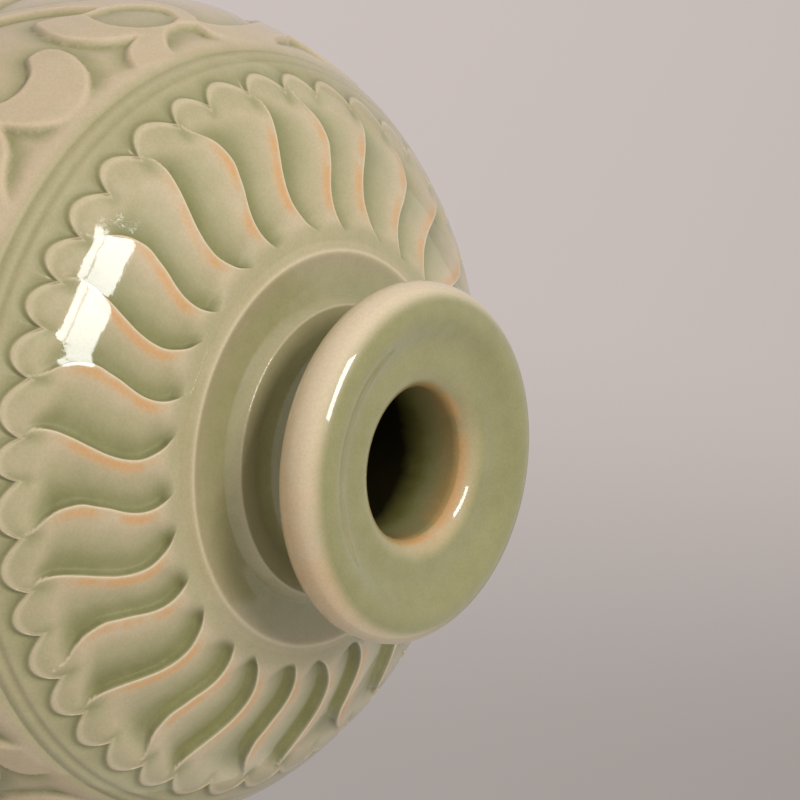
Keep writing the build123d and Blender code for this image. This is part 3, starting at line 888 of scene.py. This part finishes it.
def turn_collar(glaze):
    """Stepped collar of two terraces, seated in the shoulder's rebate."""
    skirt = (COLLAR_RADIUS, float(dome_level(COLLAR_RADIUS)))
    lower_crest = (LOWER_CREST_RADIUS, LOWER_STEP_TOP)
    terrace_outer = (TERRACE_OUTER_RADIUS, LOWER_STEP_TOP - 0.1)
    terrace_inner = (TERRACE_INNER_RADIUS, LOWER_STEP_TOP - 0.2)
    upper_crest = (UPPER_CREST_RADIUS, UPPER_STEP_TOP)
    outline = []
    for share in np.linspace(0, 0.9, 10):
        radius = blend(COLLAR_RADIUS, LOWER_CREST_RADIUS, share)
        outline.append((radius, blend(skirt[1], LOWER_STEP_TOP, share ** 1.15)))
    outline += eased(lower_crest, outline[-1], terrace_outer, 0.5 * STEP_ROUNDING)
    for share in np.linspace(0, 1, 18):
        radius = blend(TERRACE_OUTER_RADIUS, TERRACE_INNER_RADIUS, share)
        outline.append((radius, LOWER_STEP_TOP - 0.1 - 0.1 * share - TERRACE_DIP * sin(pi * share)))
    outline += eased(upper_crest, terrace_inner, (NECK_KEY, UPPER_STEP_TOP), STEP_ROUNDING)
    outline += scored(NECK_KEY, UPPER_STEP_TOP, NECK_SLIP, -1)
    outline += [(THROAT_RADIUS, UPPER_STEP_TOP)]
    for radius in np.linspace(THROAT_RADIUS, SEAT_INNER, 8):
        outline.append((radius, dome_level(radius, WALL)))
    outline += [(SEAT_INNER, SEAT_LEVEL)]
    outline += scored(SEAT_MIDDLE, SEAT_LEVEL, NECK_SLIP)[::-1]
    outline += [(COLLAR_RADIUS, SEAT_LEVEL)]
    surface = make_piece("stepped_collar", "shoulder_collar", outline, glaze, 12, 20)
    radius, level = surface.radius, surface.level
    rise = smoothstep((level - LOWER_STEP_TOP - 0.3) / 1.5)
    terrace = smoothstep((33.4 - radius) / 7.0) * (1 - rise)
    ledge = smoothstep((25.0 - radius) / 0.5)
    surface.pool = 0.34 + 0.42 * terrace + rise * (0.7 - 0.3 * ledge)
    surface.pool[level < LOWER_STEP_TOP - 1.6] = 0.9
    lower_crest = hump(radius, LOWER_CREST_RADIUS, 0.4) * (level > LOWER_STEP_TOP - 0.8)
    upper_crest = hump(radius, UPPER_CREST_RADIUS, 0.35) * (level > UPPER_STEP_TOP - 0.5)
    surface.crest = 0.7 * lower_crest + 0.5 * upper_crest
    paint_throat_shade(surface)
    # The glaze runs smoothly over the low outer step, so its skin is laid on a plain slope there
    on_step = (radius > TERRACE_INNER_RADIUS + 2) & (level > dome_level(COLLAR_RADIUS) - 0.01)
    slope = (COLLAR_RADIUS - radius) / (COLLAR_RADIUS - TERRACE_INNER_RADIUS - 2)
    plain = blend(dome_level(COLLAR_RADIUS), LOWER_STEP_TOP - TERRACE_DIP, slope)
    surface.upward[on_step] = 1
    surface.depth[on_step] = (plain - level)[on_step]
    surface.level = np.where(on_step, plain, level)
    surface.write()


def turn_neck(glaze):
    """Short waisted neck, flared into the collar below and the mouth above."""
    foot_centre = (NECK_RADIUS + NECK_FOOT_FLARE, UPPER_STEP_TOP + NECK_FOOT_FLARE)
    head_centre = (NECK_RADIUS + NECK_HEAD_FLARE, MOUTH_UNDERSIDE - NECK_HEAD_FLARE)
    outline = arc(foot_centre, NECK_FOOT_FLARE, 270, 180, 12)
    outline += arc(head_centre, NECK_HEAD_FLARE, 180, 90, 12)
    outline += scored(NECK_KEY, MOUTH_UNDERSIDE, NECK_SLIP, -1)
    for level in np.linspace(MOUTH_UNDERSIDE, UPPER_STEP_TOP, 10):
        outline.append((THROAT_RADIUS, level))
    outline += scored(NECK_KEY, UPPER_STEP_TOP, NECK_SLIP)[::-1]
    surface = make_piece("waisted_neck", "neck_tube", outline, glaze, 10, 20)
    # The neck's glaze is darkened: partly thick glaze in its waist, partly painted shade under the mouth ring
    surface.pool += 0.8
    paint_throat_shade(surface)
    surface.write()


def turn_mouth(glaze):
    """Flanged mouth: full round edge, dished top, and a lip that rolls down into the throat."""
    edge_radius = MOUTH_THICKNESS / 2
    edge_centre = MOUTH_RADIUS - edge_radius
    lip_centre = THROAT_RADIUS + MOUTH_LIP_RADIUS
    lip_top = MOUTH_TOP - MOUTH_LIP_DROP
    outline = arc((edge_centre, MOUTH_UNDERSIDE + edge_radius), edge_radius, -90, 90, 40)
    for share in np.linspace(0, 1, 24)[1:-1]:
        fall = MOUTH_LIP_DROP * smoothstep(share) + MOUTH_DISH_DEPTH * sin(pi * share) ** 2
        outline.append((blend(edge_centre, lip_centre, share), MOUTH_TOP - fall))
    outline += arc((lip_centre, lip_top - MOUTH_LIP_RADIUS), MOUTH_LIP_RADIUS, 90, 180, 26)
    throat_levels = np.linspace(lip_top - MOUTH_LIP_RADIUS - 1, MOUTH_UNDERSIDE, 5)
    outline += [(THROAT_RADIUS, level) for level in throat_levels]
    outline += scored(NECK_KEY, MOUTH_UNDERSIDE, NECK_SLIP)[::-1]
    surface = make_piece("flanged_mouth", "mouth_ring", outline, glaze, 16, 20)
    radius, level = surface.radius, surface.level
    tilt = np.degrees(np.arctan2(radius - edge_centre, level - MOUTH_UNDERSIDE - edge_radius))
    rounded = (radius > edge_centre) * rising(tilt, 22, 38)
    under = rising(tilt, 120, 40) * (radius > edge_centre)
    under = np.maximum(under, (level < MOUTH_UNDERSIDE + 0.1) * 1.0)
    thin_side = 0.15 + 0.85 * sided(surface.angle, LIP_THIN_ANGLE, 75)
    rolled = (1 - rising(radius, 13.2, 3.4)) * thin_side * (level > MOUTH_UNDERSIDE + 1)
    flushed_side = sided(surface.angle, EDGE_FLUSH_ANGLE, 42)
    surface.pool = 0.98 * (1 - rounded) * (1 - rolled) + 0.12 * (rounded + rolled) + 0.6 * under
    surface.flush = 0.7 * hump(radius, 12.9, 0.5) * (level > MOUTH_TOP - 6) + 0.3 * rolled
    surface.flush = np.maximum(surface.flush, 0.8 * rounded * flushed_side)
    surface.crest = 1.15 * rounded * (1 - under) * (1 - 0.5 * flushed_side)
    paint_throat_shade(surface)
    surface.write()


def turn_floor(glaze):
    """Floor of the vase, a disc dropped in on its ledge, with a boss that fills the ledge's opening."""
    boss_radius = LEDGE_INNER_RADIUS - LAP_CLEARANCE
    outline = [(radius, BASE_RECESS) for radius in np.linspace(0, boss_radius - 0.5, 24)]
    outline += eased((boss_radius, BASE_RECESS), (0, BASE_RECESS), (boss_radius, LEDGE_TOP), 0.5)
    outline += [(boss_radius, LEDGE_TOP), (DISC_RADIUS, LEDGE_TOP), (DISC_RADIUS, FLOOR_TOP)]
    outline += [(radius, FLOOR_TOP) for radius in np.linspace(DISC_RADIUS - 1, 0, 12)]
    surface = make_piece("floor_disc", "base_disc", outline, glaze, 8, 20)
    underside = (surface.level < BASE_RECESS + 0.2) & (surface.radius < boss_radius - 0.6)
    ripple = 0.12 * np.sin(surface.radius * tau / 3.4 + np.radians(surface.angle))
    surface.level[underside] += (ripple * smoothstep(surface.radius / 3))[underside] + 0.12
    surface.pool += 0.55
    surface.write()


def turn_foot(clay):
    """Turned foot ring, left bare where it stands."""
    outer = float(body_radius(FOOT_HEIGHT)) - FOOT_STEP
    corners = [(outer, FOOT_HEIGHT), (outer, 0.0), (FOOT_INNER_RADIUS, 0.0), (FOOT_INNER_RADIUS, FOOT_HEIGHT)]
    outline = [corners[0]]
    outline += eased(corners[1], corners[0], corners[2], FOOT_ROUNDING, 9)
    outline += eased(corners[2], corners[1], corners[3], FOOT_ROUNDING, 9)
    outline += [corners[3]]
    outline += scored(FOOT_KEY, FOOT_HEIGHT, WIDE_SLIP, -1)[::-1]
    make_piece("turned_foot", "foot_ring", outline, clay, 12, 20).write()


# Materials


def linear(code):
    """Linear colour from an sRGB hex code."""
    parts = [int(code[place:place + 2], 16) / 255 for place in (1, 3, 5)]
    return (*(part / 12.92 if part <= 0.04045 else ((part + 0.055) / 1.055) ** 2.4 for part in parts), 1.0)


def feed(tree, node, inputs):
    """Gives sockets of a node their values, or links them to other nodes' outputs."""
    for socket, value in inputs:
        if isinstance(value, bpy.types.NodeSocket):
            tree.links.new(value, node.inputs[socket])
        else:
            node.inputs[socket].default_value = value


def add_node(tree, kind, inputs=(), **settings):
    """Adds a node with its own settings. Inputs pair a socket with a value or with another node's output."""
    node = tree.nodes.new(kind)
    for name, value in settings.items():
        setattr(node, name, value)
    feed(tree, node, inputs)
    return node


def new_material(name):
    """Empty material with its tree, its principled shader and the places on the object."""
    material = bpy.data.materials.new(name)
    material.use_nodes = True
    tree = material.node_tree
    place = add_node(tree, "ShaderNodeTexCoord").outputs["Object"]
    return material, tree, tree.nodes["Principled BSDF"], place


def noise(tree, place, size, detail):
    """Noise whose drifts are a number of millimetres across."""
    inputs = [("Vector", place), ("Scale", 1 / (size * MM)), ("Detail", detail)]
    return add_node(tree, "ShaderNodeTexNoise", inputs).outputs["Fac"]


def maths(tree, operation, *values):
    """Result of an operation on values or on other nodes' outputs."""
    return add_node(tree, "ShaderNodeMath", enumerate(values), operation=operation).outputs[0]


def ranged(tree, value, low, high, to_low=0.0, to_high=1.0, **settings):
    """A value carried over from one range to another."""
    inputs = [("Value", value), ("From Min", low), ("From Max", high)]
    inputs += [("To Min", to_low), ("To Max", to_high)]
    return add_node(tree, "ShaderNodeMapRange", inputs, **settings).outputs[0]


def mixed(tree, factor, first, second, blend_type="MIX"):
    """Two colours mixed by a factor."""
    inputs = [("Factor", factor), ("A", first), ("B", second)]
    node = add_node(tree, "ShaderNodeMix", inputs, data_type="RGBA", blend_type=blend_type)
    return node.outputs["Result"]


def ramped(tree, share, stops):
    """Colour along a ramp of stops, each a position and an sRGB hex code."""
    ramp = add_node(tree, "ShaderNodeValToRGB", [("Fac", share)])
    for position, _ in stops[1:-1]:
        ramp.color_ramp.elements.new(position)
    for element, (position, code) in zip(ramp.color_ramp.elements, stops):
        element.position = position
        element.color = linear(code)
    return ramp.outputs["Color"]


def celadon_glaze():
    """Celadon glaze, a clear green glass fired in reduction over pale stoneware.

    It lies thin and cream on raised edges, pools green in every hollow and flushes orange beside the crests.
    """
    material, tree, shader, place = new_material("celadon_glaze")
    pool, crest, flush = [
        add_node(tree, "ShaderNodeAttribute", attribute_name=name).outputs["Fac"]
        for name in ("pool", "crest", "flush")
    ]

    # Drifts of thicker and thinner glaze, 14 mm and 3 mm across
    both = maths(tree, "ADD", noise(tree, place, 14, 2.0), noise(tree, place, 3, 3.0))
    uneven = maths(tree, "MULTIPLY_ADD", both, 0.30, -0.30)
    # The glaze's thickness carries the painted shade of the throat and neck, which darkens the ramp towards
    # near black
    thickness = maths(tree, "ADD", pool, uneven)
    colour = ramped(tree, maths(tree, "MULTIPLY", thickness, 0.5), GLAZE_AND_SHADE_STOPS)

    # The flush comes in patches about 6 mm long
    patchy = ranged(tree, noise(tree, place, 6, 2.0), 0.28, 0.52)
    warmth = maths(tree, "MULTIPLY", maths(tree, "MULTIPLY", flush, patchy), 0.8)
    colour = mixed(tree, warmth, colour, linear(FLUSH_COLOUR))
    colour = mixed(tree, maths(tree, "MULTIPLY", crest, 0.8), colour, linear(CREST_COLOUR))

    # Bubbles in the glass show as a fine speckle, drawn 0.45 mm across so that it shows
    speckle = ranged(tree, noise(tree, place, 0.45, 1.0), 0.3, 0.7, 0.95, 1.04)
    colour = mixed(tree, 1.0, colour, speckle, "MULTIPLY")

    # The glaze's own skin is a clear glassy coat, a little uneven over 2 mm, so its highlights break up
    skin = add_node(tree, "ShaderNodeAttribute", attribute_name="skin").outputs["Vector"]
    ripple = noise(tree, place, 2, 2.0)
    bump = add_node(tree, "ShaderNodeBump", [("Height", ripple), ("Strength", 0.12), ("Normal", skin)])
    feed(tree, bump, [("Distance", 0.1 * MM)])
    feed(tree, shader, [
        ("Base Color", colour), ("Roughness", 0.4), ("IOR", 1.55), ("Specular IOR Level", 0.12),
        ("Coat Normal", bump.outputs["Normal"]), ("Coat Weight", 1.0), ("Coat Roughness", 0.05),
        ("Coat IOR", 1.52),
    ])
    return material


def bare_clay():
    """Unglazed stoneware of the foot, burnt orange-brown in the kiln: dry, with fine grog."""
    material, tree, shader, place = new_material("bare_clay")
    colour = ramped(tree, noise(tree, place, 18, 3.0), ((0.32, "#8a5536"), (0.68, "#b98862")))
    grog = noise(tree, place, 0.5, 2.0)
    colour = mixed(tree, 1.0, colour, ranged(tree, grog, 0.0, 1.0, 0.75, 1.2), "MULTIPLY")
    bump = add_node(tree, "ShaderNodeBump", [("Height", grog), ("Strength", 0.4), ("Distance", 0.15 * MM)])
    feed(tree, shader, [("Base Color", colour), ("Roughness", 0.85), ("Normal", bump.outputs["Normal"])])
    return material


def fired_slip():
    """Fired slip in the seams: pale stoneware, dry and slightly pitted."""
    material, tree, shader, place = new_material("fired_slip")
    colour = ramped(tree, noise(tree, place, 0.8, 3.0), ((0.3, "#a89c86"), (0.7, "#cdc4b0")))
    feed(tree, shader, [("Base Color", colour), ("Roughness", 0.8)])
    return material


def grey_paper():
    """Matt grey-lilac paper under the vase, with painted light: its colour is lighter on the side that the
    window lights.
    """
    material, tree, shader, place = new_material("grey_paper")
    across = add_node(tree, "ShaderNodeSeparateXYZ", [("Vector", place)]).outputs["X"]
    # Painted light: the colour darkens from the window's side across the vase's x axis
    share = ranged(tree, across, -50 * MM, 110 * MM, interpolation_type="SMOOTHSTEP")
    colour = mixed(tree, share, linear("#cec5c3"), linear("#aea8a5"))
    feed(tree, shader, [("Base Color", colour), ("Roughness", 1.0), ("Specular IOR Level", 0.0)])
    return material


# Stage


def lay_floor(paper):
    """Wide sheet of paper that the vase stands on."""
    bm = bmesh.new()
    bmesh.ops.create_grid(bm, x_segments=1, y_segments=1, size=3.0)
    mesh = bpy.data.meshes.new("floor")
    bm.to_mesh(mesh)
    bm.free()
    mesh.materials.append(paper)
    floor = add_object("floor", mesh)


def facing(back, up):
    """Turn of a lamp or camera whose back and top point along two directions."""
    back = Vector(back).normalized()
    right = Vector(up).cross(back).normalized()
    top = back.cross(right)
    return Matrix((right, top, back)).transposed()


def hang_pane(name, width, offset):
    """One pane of the window, seen from the vase in the window's direction."""
    direction = Vector(WINDOW_DIRECTION).normalized()
    turn = facing(direction, WINDOW_AXIS)
    pane = bpy.data.lights.new(name, "AREA")
    pane.shape = "RECTANGLE"
    pane.size = width * MM
    pane.size_y = WINDOW_LENGTH * MM
    pane.energy = PANE_RADIANCE * pi * pane.size * pane.size_y
    lamp = add_object(name, pane)
    centre = Vector((0, 0, MOUTH_EQUATOR * MM)) + direction * WINDOW_DISTANCE * MM
    lamp.matrix_world = Matrix.Translation(centre + turn.col[0] * offset * MM) @ turn.to_4x4()


def light_room():
    """Two window panes, and a room that fills the shadows evenly."""
    window_width = WIDE_PANE + WINDOW_BAR + NARROW_PANE
    hang_pane("wide_pane", WIDE_PANE, (window_width - WIDE_PANE) / 2)
    hang_pane("narrow_pane", NARROW_PANE, (NARROW_PANE - window_width) / 2)
    world = bpy.data.worlds.new("room")
    world.use_nodes = True
    background = world.node_tree.nodes["Background"]
    feed(world.node_tree, background, [("Color", linear("#f4f1ee")), ("Strength", ROOM_STRENGTH)])
    bpy.context.scene.world = world


def place_camera():
    """Camera above the mouth, rolled so that the vase's axis runs to the right of the picture."""
    elevation = radians(CAMERA_ELEVATION)
    roll = radians(CAMERA_ROLL)
    back = Vector((0, -cos(elevation), sin(elevation)))
    level_right = Vector((1, 0, 0))
    level_up = back.cross(level_right)
    right = cos(roll) * level_right + sin(roll) * level_up
    up = cos(roll) * level_up - sin(roll) * level_right
    data = bpy.data.cameras.new("camera")
    data.lens = LENS
    data.sensor_width = SENSOR
    data.clip_start = 10 * MM
    camera = add_object("camera", data)
    mouth = Vector((0, 0, MOUTH_EQUATOR))
    spot = mouth + back * CAMERA_DISTANCE + right * CAMERA_RIGHT + up * CAMERA_UP
    camera.matrix_world = Matrix.Translation(spot * MM) @ Matrix((right, up, back)).transposed().to_4x4()
    bpy.context.scene.camera = camera


glaze = celadon_glaze()
clay = bare_clay()
slip = fired_slip()
for make in (carve_shoulder, carve_belly, carve_lower_body, turn_collar, turn_neck, turn_mouth, turn_floor):
    make(glaze)
turn_foot(clay)
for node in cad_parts.values():
    if node.name.endswith("slip_ring"):
        for place in node.material_slots:
            place.material = slip
lay_floor(grey_paper())
light_room()
place_camera()
bpy.context.scene.view_settings.view_transform = "Standard"
